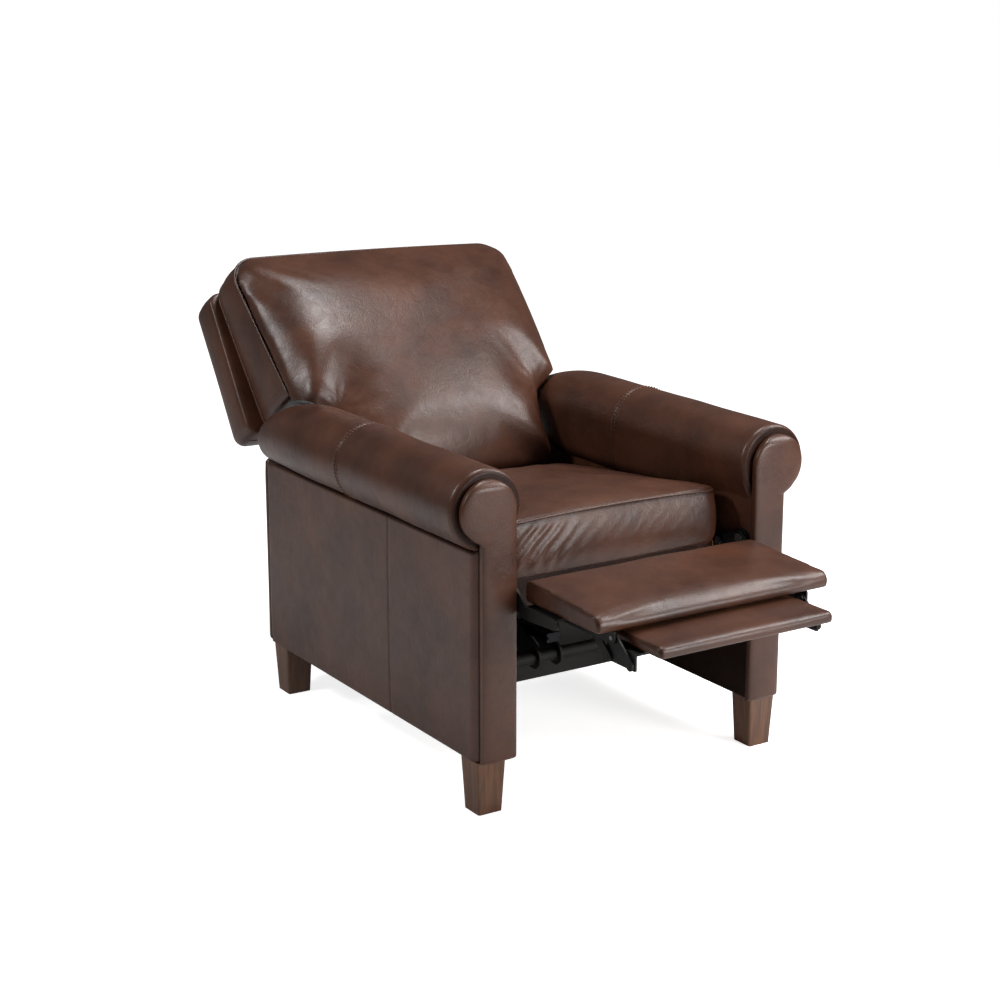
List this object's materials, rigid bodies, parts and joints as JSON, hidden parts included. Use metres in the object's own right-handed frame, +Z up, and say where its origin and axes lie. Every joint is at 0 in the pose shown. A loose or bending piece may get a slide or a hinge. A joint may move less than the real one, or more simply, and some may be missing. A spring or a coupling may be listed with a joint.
{
  "type": "power recliner",
  "caption": "Leather power recliner with rolled arms on tapered wooden legs, a leaning T-shaped back, a swing-out footrest with a flipper board, and a motor-driven linkage.",
  "frame": {"origin": "on the floor, under the middle of the chair's outline with the back leant and the footrest out", "axes": "+Z up, the sitter faces -Y, so +Y runs from the footrest to the back; +X is the sitter's left"},
  "size_m": [0.794, 1.4745, 0.9092],
  "materials": {
    "brown_leather": "glossy dark brown bonded leather with a fine grain",
    "stained_wood": "mid-brown stained hardwood under satin lacquer",
    "plywood": "raw birch plywood",
    "frame_wood": "raw sawn softwood",
    "black_rail": "dark painted wood",
    "black_steel": "black powder-coated steel",
    "zinc_steel": "bright zinc plate",
    "rail_aluminium": "extruded, bare",
    "black_plastic": "moulded, satin",
    "nylon": "natural white nylon",
    "switch_plastic": "moulded, semi-gloss",
    "button_metal": "silver-grey moulded caps",
    "lining_cloth": "black non-woven lining"
  },
  "bodies": {
    "base": {"front_right_leg": "stained_wood", "front_left_leg": "stained_wood", "rear_right_leg": "stained_wood", "rear_left_leg": "stained_wood", "leg_bolts": "zinc_steel", "arm_frames": "plywood", "right_arm": "brown_leather", "left_arm": "brown_leather", "right_arm_front": "brown_leather", "left_arm_front": "brown_leather", "lower_back_panel": "brown_leather", "mid_cross_rail": "black_rail", "rear_cross_rail": "black_rail", "right_side_plate": "black_steel", "left_side_plate": "black_steel", "side_plate_bolts": "zinc_steel", "tube_bushes": "nylon", "swing_pivot_pins": "zinc_steel", "seat_end_rails": "frame_wood", "seat_side_rails": "frame_wood", "seat_springs": "zinc_steel", "seat_brackets": "black_steel", "seat_cushion": "brown_leather", "footrest_guide_rail": "rail_aluminium", "footrest_motor": "black_plastic", "back_guide_rail": "rail_aluminium", "back_motor": "black_plastic", "rail_clamps": "zinc_steel", "control_box": "black_plastic", "switch_bezel": "switch_plastic"},
    "drive": {"footrest_drive_tube": "black_steel", "drive_cranks": "black_steel", "crank_pins": "zinc_steel", "footrest_cam_plates": "black_steel"},
    "footrest_carriage": {"footrest_carriage": "black_plastic"},
    "push_links": {"push_links": "black_steel"},
    "footrest": {"footrest_board": "plywood", "footrest_pad": "brown_leather", "swing_brackets": "black_steel", "swing_bracket_pins": "zinc_steel"},
    "front_flipper_links": {"front_flipper_links": "black_steel"},
    "rear_flipper_links": {"rear_flipper_links": "black_steel"},
    "flipper": {"flipper_board": "plywood", "flipper_pad": "brown_leather", "flipper_brackets": "black_steel"},
    "back": {"back_drive_tube": "black_steel", "back_cam_plates": "black_steel", "back_brackets": "black_steel", "back_stiles": "frame_wood", "back_rails": "frame_wood", "back_body": "brown_leather", "back_lower_cover": "lining_cloth", "back_cushion": "brown_leather", "outer_back_spacers": "black_rail", "outer_back_panel": "brown_leather"},
    "back_carriage": {"back_carriage": "black_plastic"},
    "footrest_raise_button": {"footrest_raise_button": "button_metal"},
    "footrest_lower_button": {"footrest_lower_button": "button_metal"},
    "back_lean_button": {"back_lean_button": "button_metal"},
    "back_rise_button": {"back_rise_button": "button_metal"}
  },
  "joints": [
    {"name": "footrest_swing", "type": "hinge", "parent": "base", "child": "footrest", "pos_m": [0, -0.3804, 0.425], "axis": [-1, 0, 0], "range_deg": [-90, 0]},
    {"name": "drive_turn", "type": "hinge", "parent": "base", "child": "drive", "pos_m": [0, -0.2204, 0.205], "axis": [-1, 0, 0], "range_deg": [-90, 0]},
    {"name": "push_link_turn", "type": "hinge", "parent": "drive", "child": "push_links", "pos_m": [0, -0.16302, 0.18746], "axis": [-1, 0, 0], "range_deg": [0, 90]},
    {"name": "footrest_carriage_slide", "type": "slide", "parent": "base", "child": "footrest_carriage", "axis": [0, 1, 0], "range_m": [-0.0961, 0]},
    {"name": "front_flipper_link_turn", "type": "hinge", "parent": "footrest", "child": "front_flipper_links", "pos_m": [0, -0.6279, 0.381], "axis": [-1, 0, 0], "range_deg": [-100.1, 0]},
    {"name": "rear_flipper_link_turn", "type": "hinge", "parent": "footrest", "child": "rear_flipper_links", "pos_m": [0, -0.5629, 0.381], "axis": [-1, 0, 0], "range_deg": [-100.1, 0]},
    {"name": "flipper_turn", "type": "hinge", "parent": "front_flipper_links", "child": "flipper", "pos_m": [0, -0.67386, 0.34243], "axis": [-1, 0, 0], "range_deg": [0, 100.1]},
    {"name": "back_recline", "type": "hinge", "parent": "base", "child": "back", "pos_m": [0, 0.2096, 0.42], "axis": [-1, 0, 0], "range_deg": [-19, 10]},
    {"name": "back_carriage_slide", "type": "slide", "parent": "base", "child": "back_carriage", "axis": [0, 1, 0], "range_m": [-0.0279, 0.0528]},
    {"name": "footrest_raise_button_press", "type": "slide", "parent": "base", "child": "footrest_raise_button", "axis": [-1, 0, 0], "range_m": [0, 0.0025], "stiffness_N_per_m": 400, "springref_m": -0.002},
    {"name": "footrest_lower_button_press", "type": "slide", "parent": "base", "child": "footrest_lower_button", "axis": [-1, 0, 0], "range_m": [0, 0.0025], "stiffness_N_per_m": 400, "springref_m": -0.002},
    {"name": "back_lean_button_press", "type": "slide", "parent": "base", "child": "back_lean_button", "axis": [-1, 0, 0], "range_m": [0, 0.0025], "stiffness_N_per_m": 400, "springref_m": -0.002},
    {"name": "back_rise_button_press", "type": "slide", "parent": "base", "child": "back_rise_button", "axis": [-1, 0, 0], "range_m": [0, 0.0025], "stiffness_N_per_m": 400, "springref_m": -0.002}
  ],
  "couplings": [
    {"joint": "drive_turn", "follows": "footrest_swing", "ratio": 1},
    {"joint": "push_link_turn", "follows": "footrest_swing", "ratio": -1},
    {"joint": "footrest_carriage_slide", "follows": "footrest_swing", "m_per_rad": 0.061115},
    {"joint": "front_flipper_link_turn", "follows": "footrest_swing", "ratio": 1.1111},
    {"joint": "rear_flipper_link_turn", "follows": "footrest_swing", "ratio": 1.1111},
    {"joint": "flipper_turn", "follows": "footrest_swing", "ratio": -1.1111},
    {"joint": "back_carriage_slide", "follows": "back_recline", "m_per_rad": -0.159}
  ]
}
